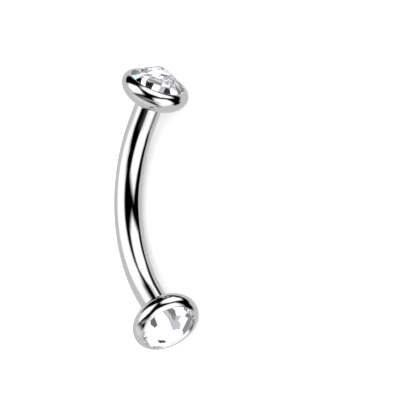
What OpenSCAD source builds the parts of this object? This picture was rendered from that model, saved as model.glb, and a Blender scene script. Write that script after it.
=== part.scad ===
// Curved barbell for an eyebrow piercing: a bent bar, drilled and tapped at both ends, and two
// threaded settings that each hold a round cut crystal. Sizes are in millimetres.
// It lies as it does on a table: the middle of the bar and the rims of both settings touch z = 0.

/* [Bar] */
// Thickness of the bar
bar_d = 1.2; // [1.1:0.05:1.6]
// Straight distance between the two settings, on the inside of the bend
bar_length = 8.2; // [6:0.1:12]
// Angle between the axis of each end and the line that joins the ends
end_angle = 38.2; // [30:0.1:45]
// Straight stretch at each end of the bar, beyond the bend
straight_length = 0.95; // [0.8:0.05:1.6]
// Wall left around the bore in each end of the bar
bar_wall = 0.14; // [0.12:0.01:0.17]
// Bevel around the edge of each end of the bar
bar_bevel = 0.04; // [0.02:0.01:0.05]
// Bevel around the mouth of each bore
mouth_bevel = 0.04; // [0.02:0.01:0.05]

/* [Thread] */
// Distance from one turn of the thread to the next
thread_pitch = 0.225; // [0.2:0.005:0.25]
// Depth of the thread
thread_depth = 0.11; // [0.08:0.01:0.13]
// Length of each post, from the seat to its tip
post_length = 1.3; // [1.1:0.1:1.6]
// Room between the thread and the wall of the bore
thread_clearance = 0.02; // [0.015:0.005:0.03]
// Room between the tip of the post and the bottom of the bore
tip_clearance = 0.15; // [0.1:0.05:0.2]

/* [Setting] */
// Diameter of each setting at its widest
setting_d = 3; // [2.7:0.05:3.6]
// Height of the widest place above the seat on the bar
widest_h = 0.79; // [0.75:0.01:0.95]
// Radius of the round underside, close to the widest place
belly_r = 0.61; // [0.55:0.01:0.7]
// Angle below the widest place at which the underside gets flatter
belly_angle = 41; // [38:1:45]
// Radius of the rolled rim, above the widest place
rim_r = 0.34; // [0.32:0.01:0.38]
// Wall beside the crystal, at the widest place
rim_wall = 0.21; // [0.18:0.01:0.25]
// How far the rim is rolled over the edge of the crystal
lip_overlap = 0.07; // [0.05:0.01:0.09]
// Metal between the seat and the flat back of the crystal
floor_h = 0.61; // [0.5:0.01:0.65]
// Gap between the setting and the end of the bar
seat_gap = 0.01; // [0.005:0.005:0.03]

/* [Crystal] */
// Number of facets in each row around
facet_count = 16; // [12:1:18]
// Diameter of the table, across its corners
table_d = 0.85; // [0.7:0.01:1]
// Height of the table above the girdle
crown_h = 0.66; // [0.6:0.01:0.75]
// Share of the crown's slope that its upper row of facets takes
step_share = 0.59; // [0.5:0.01:0.65]
// How far the edge between the two rows stands above a straight slope
step_rise = 0.054; // [0.03:0.002:0.07]
// Height of the girdle
girdle_h = 0.05; // [0.03:0.01:0.07]
// Width of the flat back as a share of the crystal's
back_share = 0.852; // [0.8:0.004:0.9]
// How far the girdle lies below the top of the rim
girdle_drop = 0.13; // [0.11:0.01:0.15]
// Room between the crystal and the metal around it
crystal_gap = 0.012; // [0.01:0.001:0.016]
// How far the crystal in each end is turned around its axis
upper_turn = -1.3; // [-11:0.1:11]
lower_turn = 14.5; // [0:0.1:22]

/* [Hidden] */
$fn = 96;

// Bar: the bend's radius follows from the length, the lean of the ends and their straight stretch
bar_r = bar_d / 2;
bend_radius = (bar_length / 2 - straight_length * cos(end_angle)) / sin(end_angle) + bar_r;
end_x = bend_radius * sin(end_angle) + straight_length * cos(end_angle);
end_y = bend_radius * (1 - cos(end_angle)) + straight_length * sin(end_angle);
extra_angle = 1;

// Bore and thread
bore_r = bar_r - bar_wall;
crest_r = bore_r - thread_clearance;
root_r = crest_r - thread_depth;
bore_depth = post_length + tip_clearance;
drill_angle = 31;
drill_tip = bore_r * tan(drill_angle);
neck_h = thread_pitch / 2;
neck_r = crest_r + thread_clearance / 4;
tip_taper = thread_pitch / 2;
thread_sides = 24;
rows_per_turn = 8;

// Setting: the centres of the three arcs of its outline, as radius and height above the seat
setting_r = setting_d / 2;
belly_c = [setting_r - belly_r, widest_h];
base_r = (widest_h - belly_r * sin(belly_angle)) / (1 - sin(belly_angle));
base_c = belly_c - (base_r - belly_r) * [cos(belly_angle), -sin(belly_angle)];
rim_c = [setting_r - rim_r, widest_h];
rim_top = widest_h + rim_r;

// Crystal: heights are above the seat of the setting
crystal_r = setting_r - rim_wall - crystal_gap;
table_r = table_d / 2;
back_r = back_share * crystal_r;
girdle_z = rim_top - girdle_drop;
table_z = girdle_z + crown_h;
pavilion_z = girdle_z - girdle_h;
back_z = floor_h + crystal_gap;
step_r = table_r + step_share * (crystal_r - table_r);
step_z = table_z - step_share * crown_h + step_rise;

// Hollow for the crystal, and the lip that is rolled over its edge
pocket_r = crystal_r + crystal_gap;
opening_r = crystal_r - lip_overlap;
lip_angle = acos((opening_r - rim_c[0]) / rim_r);
lip_z = girdle_z + (pocket_r - opening_r) * (step_z - girdle_z) / (crystal_r - step_r);

// Rest: the angle at which the bent bar leans so that its middle and both rims lie on the table
reach = end_y + widest_h * sin(end_angle);
drop_r = setting_r - belly_r;
lean_a = reach * reach + pow(drop_r * sin(end_angle), 2);
lean_b = 2 * reach * (bar_r - belly_r);
lean_c = pow(bar_r - belly_r, 2) - drop_r * drop_r;
lean = asin((-lean_b + sqrt(lean_b * lean_b - 4 * lean_a * lean_c)) / (2 * lean_a));
front_y = reach * cos(lean) + rim_c[0] * sqrt(1 - pow(sin(end_angle) * cos(lean), 2)) + rim_r;
middle_y = (front_y - bar_r) / 2;

// Points along an arc, without the first one, which the outline already has
function arc(centre, radius, from_angle, to_angle, steps = 8) =
    [for (i = [1:steps]) let (a = from_angle + (to_angle - from_angle) * i / steps)
        centre + radius * [cos(a), sin(a)]];

function ring(count, radius, height, turn = 0) =
    [for (i = [0:count - 1]) let (a = turn + i * 360 / count)
        [radius * cos(a), radius * sin(a), height]];

// Radius of the thread at one point: it winds to the right, and runs out at the tip
function thread_radius(turn, depth) =
    let (wave = (1 + cos(360 * (depth / thread_pitch + turn))) / 2,
         taper = min(1, (post_length - depth) / tip_taper))
    root_r + thread_depth * wave * taper;

// A little more than one half of the bar, around the centre of the bend, with the bore in its end
module long_half() {
    rotate([0, 0, 90 - end_angle]) difference() {
        union() {
            rotate_extrude(angle = end_angle + extra_angle) translate([bend_radius, 0]) circle(r = bar_r);
            translate([bend_radius, 0, 0]) rotate([90, 0, 0]) rotate_extrude() polygon([
                [0, 0],
                [bar_r, 0],
                [bar_r, straight_length - bar_bevel],
                [bar_r - bar_bevel, straight_length],
                [0, straight_length]
            ]);
        }
        translate([bend_radius, -straight_length, 0]) rotate([90, 0, 0]) bore();
    }
}

// The same, cut off at the middle of the bar, so that two of them meet face to face
module half_bar() {
    span = 2 * bend_radius;
    intersection() {
        long_half();
        translate([0, 0, -bar_d]) cube([span, span, 2 * bar_d]);
    }
}

// A drilled hole below z = 0, with a bevelled mouth
module bore() {
    rotate_extrude() polygon([
        [0, -bore_depth - drill_tip],
        [bore_r, -bore_depth],
        [bore_r, -mouth_bevel],
        [bore_r + 2 * mouth_bevel, mouth_bevel],
        [0, mouth_bevel]
    ]);
}

module curved_bar() {
    color("silver") lay_down() translate([0, -bend_radius, 0]) {
        half_bar();
        mirror([1, 0, 0]) half_bar();
    }
}

// A round bowl with the crystal's hollow in it, and the lip that holds the crystal
module bowl() {
    rotate_extrude() polygon(concat(
        [[0, 0], [base_c[0], 0]],
        arc(base_c, base_r, -90, -belly_angle),
        arc(belly_c, belly_r, -belly_angle, 0),
        arc(rim_c, rim_r, 0, lip_angle),
        [
            [opening_r, lip_z],
            [pocket_r, girdle_z],
            [pocket_r, pavilion_z - crystal_gap],
            [back_r + crystal_gap, floor_h],
            [0, floor_h]
        ]
    ));
}

// The neck reaches up into the metal of the bowl, and down over the start of the thread
module threaded_post() {
    start = neck_h / 2;
    rows = ceil(rows_per_turn * (post_length - start) / thread_pitch);
    points = [for (j = [0:rows], i = [0:thread_sides - 1])
        let (depth = start + (post_length - start) * j / rows,
             radius = thread_radius(i / thread_sides, depth),
             a = 360 * i / thread_sides)
        [radius * cos(a), radius * sin(a), -depth]];
    sides = [for (j = [0:rows - 1], i = [0:thread_sides - 1])
        let (next = (i + 1) % thread_sides, row = j * thread_sides, below = row + thread_sides)
        [row + i, row + next, below + next, below + i]];
    top = [for (i = [thread_sides - 1:-1:0]) i];
    tip = [for (i = [0:thread_sides - 1]) rows * thread_sides + i];
    translate([0, 0, -neck_h]) cylinder(r = neck_r, h = neck_h + floor_h / 2);
    polyhedron(points = points, faces = concat([top], sides, [tip]), convexity = 4);
}

module setting() {
    color("silver") translate([0, 0, seat_gap]) {
        bowl();
        threaded_post();
    }
}

// A small table, two rows of flat facets down to the girdle, and one row in to the flat back
module crystal(turn) {
    n = facet_count;
    outline = [
        [table_r, table_z],
        [step_r, step_z],
        [crystal_r, girdle_z],
        [crystal_r, pavilion_z],
        [back_r, back_z]
    ];
    last = (len(outline) - 1) * n;
    points = [for (p = outline, corner = ring(n, p[0], p[1], turn)) corner];
    table = [for (k = [n - 1:-1:0]) k];
    rows = [for (row = [0:n:last - n], k = [0:n - 1]) let (next = (k + 1) % n)
        [row + k, row + next, row + n + next, row + n + k]];
    back = [for (k = [0:n - 1]) last + k];
    faces = concat([table], rows, [back]);
    color("white") translate([0, 0, seat_gap]) polyhedron(points = points, faces = faces, convexity = 2);
}

// Lays the bent bar on the table: what is modelled around its middle, bend towards -Y, leans back
module lay_down() {
    translate([0, middle_y, bar_r]) rotate([-lean, 0, 0]) children();
}

// Puts what stands on z = 0 on one end of the bar: side is 1 for the upper end, at +X, and -1 for the lower
module on_end(side) {
    lay_down()
        translate([side * end_x, -end_y, 0])
            rotate([0, side * 90, -side * end_angle])
                children();
}

curved_bar();
on_end(1) setting();  // upper_setting
on_end(1) crystal(upper_turn);  // upper_crystal
on_end(-1) setting();  // lower_setting
on_end(-1) crystal(lower_turn);  // lower_crystal
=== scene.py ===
"""Looks of the curved barbell: fine meshes, mirror-polished steel, foiled crystals and a soft studio."""

import math

import bpy
import numpy as np
from mathutils import Matrix, Vector


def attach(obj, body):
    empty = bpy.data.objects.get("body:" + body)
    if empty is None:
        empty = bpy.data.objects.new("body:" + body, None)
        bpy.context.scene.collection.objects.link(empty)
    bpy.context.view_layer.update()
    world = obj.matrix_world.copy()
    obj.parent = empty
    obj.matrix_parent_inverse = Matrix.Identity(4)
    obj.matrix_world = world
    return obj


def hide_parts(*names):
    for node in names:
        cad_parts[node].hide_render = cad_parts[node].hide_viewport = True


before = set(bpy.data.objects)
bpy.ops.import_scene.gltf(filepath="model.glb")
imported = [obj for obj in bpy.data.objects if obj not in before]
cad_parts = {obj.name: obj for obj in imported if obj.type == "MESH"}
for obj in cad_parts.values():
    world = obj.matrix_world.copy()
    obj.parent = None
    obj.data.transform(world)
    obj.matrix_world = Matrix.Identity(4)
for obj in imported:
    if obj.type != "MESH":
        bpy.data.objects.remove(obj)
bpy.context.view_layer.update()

MM = 0.001
MICROMETRE = 1e-6
TURN = 2 * math.pi

# Driving sizes of the part, in millimetres, as in its source
BAR_D = 1.2
BAR_LENGTH = 8.2
END_ANGLE = math.radians(38.2)
STRAIGHT_LENGTH = 0.95
BAR_WALL = 0.14
BAR_BEVEL = 0.04
MOUTH_BEVEL = 0.04
THREAD_PITCH = 0.225
THREAD_DEPTH = 0.11
POST_LENGTH = 1.3
THREAD_CLEARANCE = 0.02
TIP_CLEARANCE = 0.15
SETTING_D = 3.0
WIDEST_H = 0.79
BELLY_R = 0.61
BELLY_ANGLE = math.radians(41)
RIM_R = 0.34
RIM_WALL = 0.21
LIP_OVERLAP = 0.07
FLOOR_H = 0.61
SEAT_GAP = 0.01
FACET_COUNT = 16
TABLE_D = 0.85
CROWN_H = 0.66
STEP_SHARE = 0.59
STEP_RISE = 0.054
GIRDLE_H = 0.05
BACK_SHARE = 0.852
GIRDLE_DROP = 0.13
CRYSTAL_GAP = 0.012
UPPER_TURN = math.radians(-1.3)
LOWER_TURN = math.radians(14.5)

# Bar
BAR_R = BAR_D / 2
BEND_R = (BAR_LENGTH / 2 - STRAIGHT_LENGTH * math.cos(END_ANGLE)) / math.sin(END_ANGLE) + BAR_R
END_X = BEND_R * math.sin(END_ANGLE) + STRAIGHT_LENGTH * math.cos(END_ANGLE)
END_Y = BEND_R * (1 - math.cos(END_ANGLE)) + STRAIGHT_LENGTH * math.sin(END_ANGLE)

# Bore and thread
BORE_R = BAR_R - BAR_WALL
CREST_R = BORE_R - THREAD_CLEARANCE
ROOT_R = CREST_R - THREAD_DEPTH
BORE_DEPTH = POST_LENGTH + TIP_CLEARANCE
DRILL_ANGLE = math.radians(31)
DRILL_TIP = BORE_R * math.tan(DRILL_ANGLE)
GROOVE_DEPTH = 0.04
NECK_H = THREAD_PITCH / 2
NECK_R = CREST_R + THREAD_CLEARANCE / 4

# Setting
SETTING_R = SETTING_D / 2
BELLY_C = np.array([SETTING_R - BELLY_R, WIDEST_H])
BASE_R = (WIDEST_H - BELLY_R * math.sin(BELLY_ANGLE)) / (1 - math.sin(BELLY_ANGLE))
BASE_C = BELLY_C + (BASE_R - BELLY_R) * np.array([-math.cos(BELLY_ANGLE), math.sin(BELLY_ANGLE)])
RIM_C = np.array([SETTING_R - RIM_R, WIDEST_H])
RIM_TOP = WIDEST_H + RIM_R

# Crystal
CRYSTAL_R = SETTING_R - RIM_WALL - CRYSTAL_GAP
TABLE_R = TABLE_D / 2
BACK_R = BACK_SHARE * CRYSTAL_R
GIRDLE_Z = RIM_TOP - GIRDLE_DROP
TABLE_Z = GIRDLE_Z + CROWN_H
PAVILION_Z = GIRDLE_Z - GIRDLE_H
BACK_Z = FLOOR_H + CRYSTAL_GAP
STEP_R = TABLE_R + STEP_SHARE * (CRYSTAL_R - TABLE_R)
STEP_Z = TABLE_Z - STEP_SHARE * CROWN_H + STEP_RISE
POCKET_R = CRYSTAL_R + CRYSTAL_GAP
OPENING_R = CRYSTAL_R - LIP_OVERLAP
LIP_ANGLE = math.acos((OPENING_R - RIM_C[0]) / RIM_R)
LIP_Z = GIRDLE_Z + (POCKET_R - OPENING_R) * (STEP_Z - GIRDLE_Z) / (CRYSTAL_R - STEP_R)

# How fine the meshes are, and the angle from which an edge stays sharp
SIDES = 128
ROWS_PER_TURN = 16
BEND_STEPS = 96
STRAIGHT_STEPS = 16
BEVEL_RINGS = 6
FACE_RINGS = 2
SHARP_ANGLE = math.radians(40)

# Looks: the middle part of a noise that is spread out, how rough the noise is, the distance between
# turning lines in millimetres, how strongly the crystals bend light, and how often light bounces
NOISE_MIDDLE = (0.3, 0.7)
NOISE_ROUGHNESS = 0.6
TURNING_LINE = 0.04
CRYSTAL_IOR = 1.49
BOUNCES = 24


def lean_angle():
    """Angle at which the bent bar leans back when its middle and both rims lie on the table."""
    reach = END_Y + WIDEST_H * math.sin(END_ANGLE)
    drop = SETTING_R - BELLY_R
    a = reach ** 2 + (drop * math.sin(END_ANGLE)) ** 2
    b = 2 * reach * (BAR_R - BELLY_R)
    c = (BAR_R - BELLY_R) ** 2 - drop ** 2
    lean = math.asin((-b + math.sqrt(b * b - 4 * a * c)) / (2 * a))
    along = math.sin(END_ANGLE) * math.cos(lean)
    front = reach * math.cos(lean) + RIM_C[0] * math.sqrt(1 - along ** 2) + RIM_R
    return lean, (front - BAR_R) / 2


LEAN, MIDDLE_Y = lean_angle()
LAY_DOWN = Matrix.Translation((0, MIDDLE_Y, BAR_R)) @ Matrix.Rotation(-LEAN, 4, "X")


def end_matrix(side):
    """Moves what stands on z = 0 to one end of the bar. side is 1 for the upper end, -1 for the lower."""
    seat = Matrix.Translation((side * END_X, -END_Y, 0))
    turn = Matrix.Rotation(-side * END_ANGLE, 4, "Z") @ Matrix.Rotation(side * math.pi / 2, 4, "Y")
    return LAY_DOWN @ seat @ turn


def arc(centre, radius, from_angle, to_angle, steps):
    """Points (radius, height) along an arc, without its first one."""
    angles = from_angle + (to_angle - from_angle) * np.arange(1, steps + 1) / steps
    return [(centre[0] + radius * math.cos(a), centre[1] + radius * math.sin(a)) for a in angles]


def line(start, end, steps):
    """Points along a straight stretch, without its first one."""
    shares = np.arange(1, steps + 1) / steps
    return [tuple(np.array(start) + (np.array(end) - np.array(start)) * s) for s in shares]


def groove_wave(depth, turn):
    """Height of a thread's flank from 0 at its root to 1 at its crest, at one depth and turn."""
    return (1 + np.cos(TURN * (depth / THREAD_PITCH + turn))) / 2


def add_mesh(name, points, faces, matrix, smooth=True):
    """Makes an object from points in millimetres, moved by a matrix into the row frame in metres."""
    mesh = bpy.data.meshes.new(name)
    placed = [matrix @ Vector(p) * MM for p in points]
    mesh.from_pydata(placed, [], faces)
    mesh.validate()
    mesh.update()
    if smooth:
        mesh.shade_smooth()
        mesh.set_sharp_from_angle(angle=SHARP_ANGLE)
    else:
        mesh.shade_flat()
    piece = bpy.data.objects.new(name, mesh)
    bpy.context.scene.collection.objects.link(piece)
    return piece


def skin(rings):
    """Points and faces of a closed surface through rings of the same number of points."""
    count = len(rings[0])
    points = [tuple(p) for ring in rings for p in ring]
    faces = []
    for j in range(len(rings) - 1):
        for i in range(count):
            n = (i + 1) % count
            faces.append((j * count + i, j * count + n, (j + 1) * count + n, (j + 1) * count + i))
    last = (len(rings) - 1) * count
    faces.append(tuple(reversed(range(count))))
    faces.append(tuple(range(last, last + count)))
    return points, faces


def ring_at(radii, height, count=SIDES, turn=0):
    """One ring around Z. radii is one radius, or one for each side."""
    a = turn + TURN * np.arange(count) / count
    r = np.broadcast_to(radii, count)
    return np.stack([r * np.cos(a), r * np.sin(a), np.full(count, height)], -1)


def thread_rings():
    """Rings of the threaded post, from its neck down to its tip."""
    start = NECK_H
    start_share = 0.02
    rows = int(ROWS_PER_TURN * (POST_LENGTH - start) / THREAD_PITCH)
    turns = np.arange(SIDES) / SIDES
    rings = []
    for j in range(rows + 1):
        depth = start + (POST_LENGTH - start) * j / rows
        fade = min(1.0, (POST_LENGTH - depth) / NECK_H, (depth - start) / NECK_H + start_share)
        radii = ROOT_R + THREAD_DEPTH * groove_wave(depth, turns) * fade
        rings.append(ring_at(radii, -depth))
    return rings


def setting_outline():
    """Outline of the bowl as (radius, height), from the centre of its hollow round to its neck."""
    centre_r = 0.02
    round_lip = 0.012
    past_lip = 0.05
    lip_top = RIM_C[1] + math.sqrt(RIM_R ** 2 - (OPENING_R - RIM_C[0]) ** 2)
    points = [(centre_r, FLOOR_H)]
    points += line(points[-1], (BACK_R + CRYSTAL_GAP, FLOOR_H), 6)
    points += line(points[-1], (POCKET_R, PAVILION_Z - CRYSTAL_GAP), 4)
    points += line(points[-1], (POCKET_R, GIRDLE_Z), 2)
    points += line(points[-1], (OPENING_R, LIP_Z), 3)
    points += line(points[-1], (OPENING_R, lip_top - round_lip), 2)
    points += arc((OPENING_R + round_lip, lip_top - round_lip), round_lip, math.pi, math.pi / 2, 4)
    points += arc(RIM_C, RIM_R, LIP_ANGLE - past_lip, 0, 28)
    points += arc(BELLY_C, BELLY_R, 0, -BELLY_ANGLE, 24)
    points += arc(BASE_C, BASE_R, -BELLY_ANGLE, -math.pi / 2, 18)
    points += line(points[-1], (NECK_R, 0), 2)
    return points


def setting_mesh(name, side):
    """Bowl, neck and threaded post as one closed surface."""
    outline = setting_outline()
    rings = [ring_at(r, z) for r, z in outline]
    rings += [ring_at(NECK_R, -NECK_H * s) for s in (0.25, 0.5, 0.75)]
    rings += thread_rings()
    rings = [ring + [0, 0, SEAT_GAP] for ring in rings]
    points, faces = skin(rings)
    piece = add_mesh(name, points, faces, end_matrix(side))
    first_turned = (len(outline) - 1) * SIDES
    for face in piece.data.polygons[first_turned:]:
        face.material_index = 1
    return piece


def crystal_mesh(name, side, turn):
    """A small table, two rows of flat facets down to the girdle, and one row in to the foiled back."""
    outline = [
        (BACK_R, BACK_Z),
        (CRYSTAL_R, PAVILION_Z),
        (CRYSTAL_R, GIRDLE_Z),
        (STEP_R, STEP_Z),
        (TABLE_R, TABLE_Z),
    ]
    points, faces = skin([ring_at(r, z + SEAT_GAP, FACET_COUNT, turn) for r, z in outline])
    piece = add_mesh(name, points, faces, end_matrix(side), smooth=False)
    foil_top = GIRDLE_Z + SEAT_GAP
    for face, corners in zip(piece.data.polygons, faces):
        if sum(points[c][2] for c in corners) / len(corners) < foil_top:
            face.material_index = 1
    return piece


def bar_sections():
    """Places on the bar's centreline as (centre, direction), from its lower to its upper end."""
    places = []
    for x in np.linspace(-STRAIGHT_LENGTH, 0, STRAIGHT_STEPS, endpoint=False):
        places.append((-END_ANGLE, x))
    for angle in np.linspace(-END_ANGLE, END_ANGLE, BEND_STEPS + 1):
        places.append((angle, 0.0))
    for x in np.linspace(0, STRAIGHT_LENGTH, STRAIGHT_STEPS + 1)[1:]:
        places.append((END_ANGLE, x))
    found = []
    for angle, x in places:
        along = np.array([math.cos(angle), -math.sin(angle), 0])
        centre = np.array([BEND_R * math.sin(angle), -BEND_R * (1 - math.cos(angle)), 0]) + x * along
        found.append((centre, along))
    return found


def bar_ring(centre, along, radii):
    """A ring around the bar's centreline. Its first point lies on the outside of the bend."""
    a = TURN * np.arange(SIDES) / SIDES
    outward = np.array([-along[1], along[0], 0])
    upward = np.array([0, 0, 1.0])
    r = np.broadcast_to(radii, SIDES)[:, None]
    return centre + r * (np.cos(a)[:, None] * outward + np.sin(a)[:, None] * upward)


def bore_rings(centre, inward, along, handed):
    """Rings of one end, from the rounded edge over the flat face and down the tapped bore to its bottom."""
    mouth = BORE_R + MOUTH_BEVEL
    outline = arc((BAR_R - BAR_BEVEL, BAR_BEVEL), BAR_BEVEL, 0, -math.pi / 2, BEVEL_RINGS)
    outline += line((BAR_R - BAR_BEVEL, 0), (mouth, 0), FACE_RINGS)
    outline += line((mouth, 0), (BORE_R, MOUTH_BEVEL), 3)
    rings = [bar_ring(centre + inward * depth, along, r) for r, depth in outline]
    turns = handed * np.arange(SIDES) / SIDES
    rows = int(ROWS_PER_TURN * (BORE_DEPTH - MOUTH_BEVEL) / THREAD_PITCH)
    for j in range(1, rows + 1):
        depth = MOUTH_BEVEL + (BORE_DEPTH - MOUTH_BEVEL) * j / rows
        fade = min(1.0, (BORE_DEPTH - depth) / THREAD_PITCH, (depth - MOUTH_BEVEL) / NECK_H)
        radii = BORE_R + GROOVE_DEPTH * groove_wave(depth, turns) * fade
        rings.append(bar_ring(centre + inward * depth, along, radii))
    for share in (0.35, 0.7, 0.96):
        depth = BORE_DEPTH + DRILL_TIP * share
        rings.append(bar_ring(centre + inward * depth, along, BORE_R * (1 - share)))
    return rings


def bar_mesh(name):
    """The bent bar with rounded edges and a tapped bore in each end, as one closed surface."""
    sections = bar_sections()
    first, last = sections[0], sections[-1]
    low = bore_rings(first[0], first[1], first[1], 1)
    high = bore_rings(last[0], -last[1], last[1], -1)
    body = []
    end_stretch = 1.01 * BAR_BEVEL
    for centre, along in sections:
        from_end = min(np.linalg.norm(centre - first[0]), np.linalg.norm(centre - last[0]))
        if from_end > end_stretch:
            body.append(bar_ring(centre, along, BAR_R))
    body.insert(0, bar_ring(first[0] + first[1] * BAR_BEVEL, first[1], BAR_R))
    body.append(bar_ring(last[0] - last[1] * BAR_BEVEL, last[1], BAR_R))
    rings = low[::-1] + body + high
    points, faces = skin(rings)
    piece = add_mesh(name, points, faces, LAY_DOWN)
    bore_strips = len(low) - BEVEL_RINGS - FACE_RINGS
    for face in piece.data.polygons:
        strip = face.index // SIDES
        if strip < bore_strips or strip >= len(rings) - 1 - bore_strips:
            face.material_index = 1
    return piece


class Graph:
    """A node tree, with short calls that add nodes and join them."""

    def __init__(self, owner):
        self.nodes = owner.node_tree.nodes
        self.links = owner.node_tree.links

    def feed(self, socket, value):
        if isinstance(value, bpy.types.NodeSocket):
            self.links.new(value, socket)
        else:
            socket.default_value = value

    def add(self, kind, inputs, out=0, **settings):
        """Adds a node with its inputs and settings, and gives one of its outputs."""
        node = self.nodes.new("ShaderNode" + kind)
        for name, value in settings.items():
            setattr(node, name, value)
        for key, value in inputs.items():
            self.feed(node.inputs[key], value)
        return node.outputs[out]

    def math(self, operation, *values):
        return self.add("Math", dict(enumerate(values)), operation=operation)

    def vector(self, operation, *values, out="Vector"):
        return self.add("VectorMath", dict(enumerate(values)), out, operation=operation)

    def millimetres(self):
        """The place on a piece at rest, in millimetres."""
        return self.vector("MULTIPLY", self.add("TexCoord", {}, "Object"), (1 / MM, 1 / MM, 1 / MM))

    def noise(self, place, per_mm, detail, low, high):
        """Cloudy values between two limits."""
        inputs = {"Vector": place, "Scale": per_mm, "Detail": detail, "Roughness": NOISE_ROUGHNESS}
        limits = {"From Min": NOISE_MIDDLE[0], "From Max": NOISE_MIDDLE[1], "To Min": low, "To Max": high}
        cloud = self.add("TexNoise", inputs, "Fac")
        return self.add("MapRange", {"Value": cloud, **limits}, "Result")

    def blend(self, share, first, second):
        """Mixes two colours."""
        pair = {0: share, 6: (*first, 1), 7: (*second, 1)}
        return self.add("Mix", pair, 2, data_type="RGBA")

    def relief(self, height, micrometres, under=None):
        """Surface relief from a height between 0 and 1."""
        inputs = {"Height": height, "Strength": 1.0, "Distance": micrometres * MICROMETRE}
        if under is not None:
            inputs["Normal"] = under
        return self.add("Bump", inputs, "Normal")


def new_material(name):
    """A material with its nodes and its main shader's inputs."""
    material = bpy.data.materials.new(name)
    material.use_nodes = True
    return material, Graph(material), material.node_tree.nodes["Principled BSDF"].inputs


def polished_steel():
    """Mirror-polished surgical steel: faint waves and haze left by polishing, and a few hairlines."""
    material, graph, shader = new_material("polished_steel")
    shader["Metallic"].default_value = 1
    place = graph.millimetres()
    tint = graph.noise(place, 0.9, 2, 0, 1)
    graph.feed(shader["Base Color"], graph.blend(tint, (0.80, 0.79, 0.78), (0.77, 0.765, 0.765)))
    haze = graph.noise(place, 3.1, 5, 0.03, 0.055)
    grain = graph.vector("MULTIPLY", place, (1.5, 26, 26))
    hairline = graph.add("TexNoise", {"Vector": grain, "Scale": 1.0, "Detail": 3}, "Fac")
    scratched = graph.add("MapRange", {"Value": hairline, "From Min": 0.66, "From Max": 0.72}, "Result")
    graph.feed(shader["Roughness"], graph.math("MULTIPLY_ADD", scratched, 0.03, haze))
    waves = graph.relief(graph.noise(place, 1.1, 1, 0, 1), 1.2)
    graph.feed(shader["Normal"], graph.relief(scratched, 0.05, waves))
    return material


def turned_steel():
    """Steel as the lathe leaves it, in the threads and bores: fine turning lines across each end's axis."""
    material, graph, shader = new_material("turned_steel")
    shader["Metallic"].default_value = 1
    place = graph.millimetres()
    x, y, z = graph.add("SeparateXYZ", {0: place}).node.outputs
    folded = graph.add("CombineXYZ", {0: graph.math("ABSOLUTE", x), 1: y, 2: z})
    axis = end_matrix(1).to_3x3() @ Vector((0, 0, 1))
    depth = graph.vector("DOT_PRODUCT", folded, axis, out="Value")
    wander = graph.noise(place, 2.0, 3, 0, 0.02)
    lines = graph.math("SINE", graph.math("MULTIPLY", graph.math("ADD", depth, wander), TURN / TURNING_LINE))
    height = graph.math("MULTIPLY_ADD", lines, 0.5, 0.5)
    graph.feed(shader["Base Color"], graph.blend(height, (0.60, 0.595, 0.59), (0.70, 0.695, 0.69)))
    graph.feed(shader["Roughness"], graph.noise(place, 6, 4, 0.16, 0.3))
    graph.feed(shader["Normal"], graph.relief(height, 0.6))
    return material


def crystal_glass():
    """The clear body of a crystal, with the slightest haze and tint."""
    material, graph, shader = new_material("crystal_glass")
    shader["IOR"].default_value = CRYSTAL_IOR
    shader["Transmission Weight"].default_value = 1
    shader["Specular Tint"].default_value = (0.25, 0.25, 0.27, 1)
    place = graph.millimetres()
    tint = graph.noise(place, 1.2, 2, 0, 1)
    graph.feed(shader["Base Color"], graph.blend(tint, (1, 1, 1), (0.975, 0.985, 1)))
    graph.feed(shader["Roughness"], graph.noise(place, 5, 4, 0.0, 0.004))
    return material


def crystal_foil():
    """The silver foil behind a crystal, slightly uneven where it was laid on."""
    material, graph, shader = new_material("crystal_foil")
    shader["Metallic"].default_value = 1
    place = graph.millimetres()
    tint = graph.noise(place, 1.6, 3, 0, 1)
    graph.feed(shader["Base Color"], graph.blend(tint, (0.96, 0.96, 0.965), (0.93, 0.935, 0.95)))
    graph.feed(shader["Roughness"], graph.noise(place, 7, 3, 0.0, 0.012))
    graph.feed(shader["Normal"], graph.relief(graph.noise(place, 2, 1, 0, 1), 0.15))
    return material


def build_object():
    """Makes every piece and lets it stand for its node."""
    steel, turned = polished_steel(), turned_steel()
    glass, foil = crystal_glass(), crystal_foil()
    bar = bar_mesh("steel_bar")
    bar.data.materials.append(steel)
    bar.data.materials.append(turned)
    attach(bar, "bar")
    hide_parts("curved_bar")
    for end, side, turn in (("upper", 1, UPPER_TURN), ("lower", -1, LOWER_TURN)):
        setting = setting_mesh(f"{end}_steel_setting", side)
        setting.data.materials.append(steel)
        setting.data.materials.append(turned)
        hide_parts(f"{end}_setting")
        crystal = crystal_mesh(f"{end}_cut_crystal", side, turn)
        crystal.data.materials.append(glass)
        crystal.data.materials.append(foil)
        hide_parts(f"{end}_crystal")
        for piece in (setting, crystal):
            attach(piece, f"{end}_end")


# Camera: where the bar's middle lies in the photograph, its scale there, and the angles of the view
PHOTO_SIDE = 416
MIDDLE_PIXEL = (128.04, 213.78)
PIXELS_PER_MM = 23.12
CAMERA_DISTANCE = 247.0
CLIP_START = 0.01
CLIP_END = 10
SENSOR = 36.0
VIEW_AROUND = math.radians(-11.76)
VIEW_ABOVE = math.radians(35.96)
VIEW_ROLL = math.radians(-2.55)
FLOOR_SIDE = 2


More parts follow.
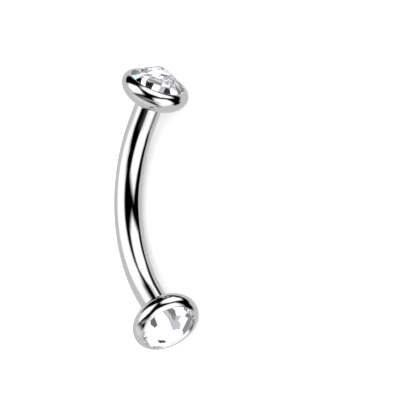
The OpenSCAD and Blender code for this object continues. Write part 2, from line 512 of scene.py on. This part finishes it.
def add_camera():
    """A long lens at the photograph's viewing angle, which is given from the plane that the bar bends in."""
    turn = LAY_DOWN.to_3x3()
    along = math.sin(VIEW_AROUND) * math.cos(VIEW_ABOVE)
    inside = -math.cos(VIEW_AROUND) * math.cos(VIEW_ABOVE)
    back = turn @ Vector((along, inside, math.sin(VIEW_ABOVE)))
    right = (turn @ Vector((1, 0, 0))).cross(back).normalized()
    up = back.cross(right)
    right, up = (
        right * math.cos(VIEW_ROLL) + up * math.sin(VIEW_ROLL),
        up * math.cos(VIEW_ROLL) - right * math.sin(VIEW_ROLL),
    )
    middle = LAY_DOWN.to_translation()
    aside = (PHOTO_SIDE / 2 - MIDDLE_PIXEL[0]) / PIXELS_PER_MM
    above = (MIDDLE_PIXEL[1] - PHOTO_SIDE / 2) / PIXELS_PER_MM
    place = middle + back * CAMERA_DISTANCE
    back = (place - middle - right * aside - up * above).normalized()
    right = up.cross(back).normalized()
    up = back.cross(right)
    data = bpy.data.cameras.new("camera")
    data.sensor_width = SENSOR
    data.lens = PIXELS_PER_MM * CAMERA_DISTANCE * SENSOR / PHOTO_SIDE
    data.clip_start = CLIP_START
    data.clip_end = CLIP_END
    camera = bpy.data.objects.new("camera", data)
    axes = Matrix((right, up, back)).transposed().to_4x4()
    camera.matrix_world = Matrix.Translation(place * MM) @ axes
    bpy.context.scene.collection.objects.link(camera)
    bpy.context.scene.camera = camera


def add_floor():
    """A plain pale floor. Mirrors and glass look past it, to the studio around."""
    bpy.ops.mesh.primitive_plane_add(size=FLOOR_SIDE)
    floor = bpy.context.object
    floor.name = "floor"
    floor.visible_glossy = False
    floor.visible_transmission = False
    material, graph, shader = new_material("pale_floor")
    shader["Roughness"].default_value = 1
    shader["Specular IOR Level"].default_value = 0
    cloud = graph.noise(graph.millimetres(), 0.02, 3, 0, 1)
    graph.feed(shader["Base Color"], graph.blend(cloud, (0.9, 0.9, 0.9), (0.88, 0.88, 0.885)))
    floor.data.materials.append(material)


# Studio, as polished steel shows it: a pale room, and round the camera a black screen with panels in it,
# from black to bright white. Places are in degrees away from the direction to the camera, first to its
# right and then up. The soft light is what falls on the floor.
ROOM = 0.66
SOFT_LIGHT = 2.1
# Centre, radius and softness of the edge
SCREEN = ((-2, 22), 102, 5)
PANELS = (
    # corners, softness of the edge, brightness
    (((70, 30), (96, 6), (104, -18), (96, -52), (74, -68), (41, -34)), 6, 0.0),
    (((-130, -28), (-130, 55), (-97, 43), (-62, 35), (-37, -14), (-110, -30)), 4, ROOM),
    (((-106, -14), (-78, -34), (-50, -54), (0, -86), (-32, -98), (-80, -74)), 12, 0.84),
    (((-94, 16), (-88, 43), (-67, 56), (-30, 62), (-27, 55), (-31, -2), (-79, -22), (-96, 8)), 9, 1.35),
    (((2, 36), (-12, 61), (-2, 83), (24, 100), (36, 93), (64, 70), (71, 41), (33, 23)), 8, 1.35),
    (((3, -11), (27, -1), (51, 7), (60, -5), (68, -26), (68, -46), (50, -68), (16, -80), (-4, -56)), 8, 1.3),
    (((-56, -32), (-8, -45), (12, -50), (14, -60), (-36, -50)), 9, 0.42),
)

# What the crystals catch: a bright room with cards in it, from grey to black and slightly tinted. Red and
# blue see each card moved a little along the fringe's way, one to each side, which gives it coloured edges.
CRYSTAL_ROOM = 1.35
CARD_EDGE = 0.5
CARD_TINT = (0.96, 0.99, 1.05)
FRINGE = 0.2
FRINGE_WAY = Vector((0.6, 0.8))
CARDS = (
    # centre, radius, brightness
    ((31, -104), 17.0, 0.60),
    ((79, -77), 6.0, 0.15),
    ((6, -75), 14.0, 0.25),
    ((-18, 120), 18.5, 0.45),
    ((-10, -80), 14.5, 0.25),
    ((48, 122), 7.0, 0.25),
    ((25, -107), 8.0, 0.20),
    ((10, 48), 17.5, 0.50),
    ((18, 137), 7.5, 0.55),
    ((-9, -17), 6.0, 0.40),
    ((-32, -55), 6.5, 0.20),
    ((118, 44), 3.5, 0.30),
    ((-33, 96), 4.5, 0.30),
    ((68, 114), 3.5, 0.30),
    ((116, 69), 3.5, 0.00),
    ((66, -48), 11.0, 0.05),
    ((72, 114), 5.5, 0.00),
    ((86, 63), 15.0, 0.05),
    ((-52, 107), 5.0, 0.15),
    ((103, 12), 5.0, 0.00),
    ((-1, -12), 4.5, 0.00),
    ((-12, 135), 3.5, 0.00),
    ((-64, -22), 34.0, 0.15),
    ((-56, 87), 4.5, 0.10),
    ((147, -7), 8.0, 0.05),
)


def add_world():
    """The studio, as light that comes from all around."""
    world = bpy.data.worlds.new("studio")
    bpy.context.scene.world = world
    world.use_nodes = True
    world.cycles.sampling_method = "NONE"
    graph = Graph(world)
    path = graph.add("LightPath", {}).node.outputs

    def within(distance, limit, softness):
        """1 where a distance is under its limit and 0 beyond it, with a soft edge."""
        edge = {"Value": distance, "From Min": float(limit + softness), "From Max": float(limit - softness)}
        return graph.add("MapRange", edge, "Result", interpolation_type="SMOOTHSTEP")

    def disc(x, y, radius, softness):
        distance = graph.vector("DISTANCE", place, (x, y, 1), out="Value")
        return within(distance, radius, softness)

    def choose(share, first, second):
        return graph.add("Mix", {0: share, 4: first, 5: second}, 1, data_type="VECTOR")

    direction = graph.add("TexCoord", {}, "Generated")
    axes = bpy.context.scene.camera.matrix_world.to_3x3().transposed()
    right, up, back = (graph.vector("DOT_PRODUCT", direction, axis, out="Value") for axis in axes)
    angle = graph.math("DEGREES", graph.math("ARCCOSINE", back))
    flat = graph.vector("NORMALIZE", graph.add("CombineXYZ", {0: right, 1: up}))
    place = graph.vector("MULTIPLY_ADD", flat, angle, (0, 0, 1))

    centre, radius, softness = SCREEN
    level = choose(disc(*centre, radius, softness), (ROOM,) * 3, (0, 0, 0))
    for corners, softness, brightness in PANELS:
        corners = [Vector(c) for c in corners]
        middle = sum(corners, Vector((0, 0))) / len(corners)
        distance = None
        for a, b in zip(corners, corners[1:] + corners[:1]):
            across = Vector((b.y - a.y, a.x - b.x)).normalized()
            if across.dot(middle - a) > 0:
                across = -across
            edge = graph.vector("DOT_PRODUCT", place, (across.x, across.y, -across.dot(a)), out="Value")
            distance = edge if distance is None else graph.math("MAXIMUM", distance, edge)
        level = choose(within(distance, 0, softness), level, (brightness,) * 3)

    caught = (CRYSTAL_ROOM,) * 3
    for centre, radius, brightness in CARDS:
        shifted = [Vector(centre) + FRINGE_WAY * shift for shift in (-FRINGE, 0, FRINGE)]
        shares = [disc(*middle, radius, CARD_EDGE) for middle in shifted]
        shares = graph.add("CombineXYZ", dict(enumerate(shares)))
        levels = {1: shares, 4: caught, 5: [brightness * colour for colour in CARD_TINT]}
        caught = graph.add("Mix", levels, 1, data_type="VECTOR", factor_mode="NON_UNIFORM")
    level = choose(path["Is Transmission Ray"], level, caught)
    level = choose(path["Is Diffuse Ray"], level, (SOFT_LIGHT,) * 3)
    level = choose(path["Is Camera Ray"], level, (1, 1, 1))
    graph.feed(graph.nodes["Background"].inputs["Color"], level)


build_object()
add_camera()
add_floor()
add_world()
bpy.context.scene.view_settings.view_transform = "Standard"
bpy.context.scene.cycles.max_bounces = BOUNCES
bpy.context.scene.cycles.glossy_bounces = BOUNCES
bpy.context.scene.cycles.transmission_bounces = BOUNCES
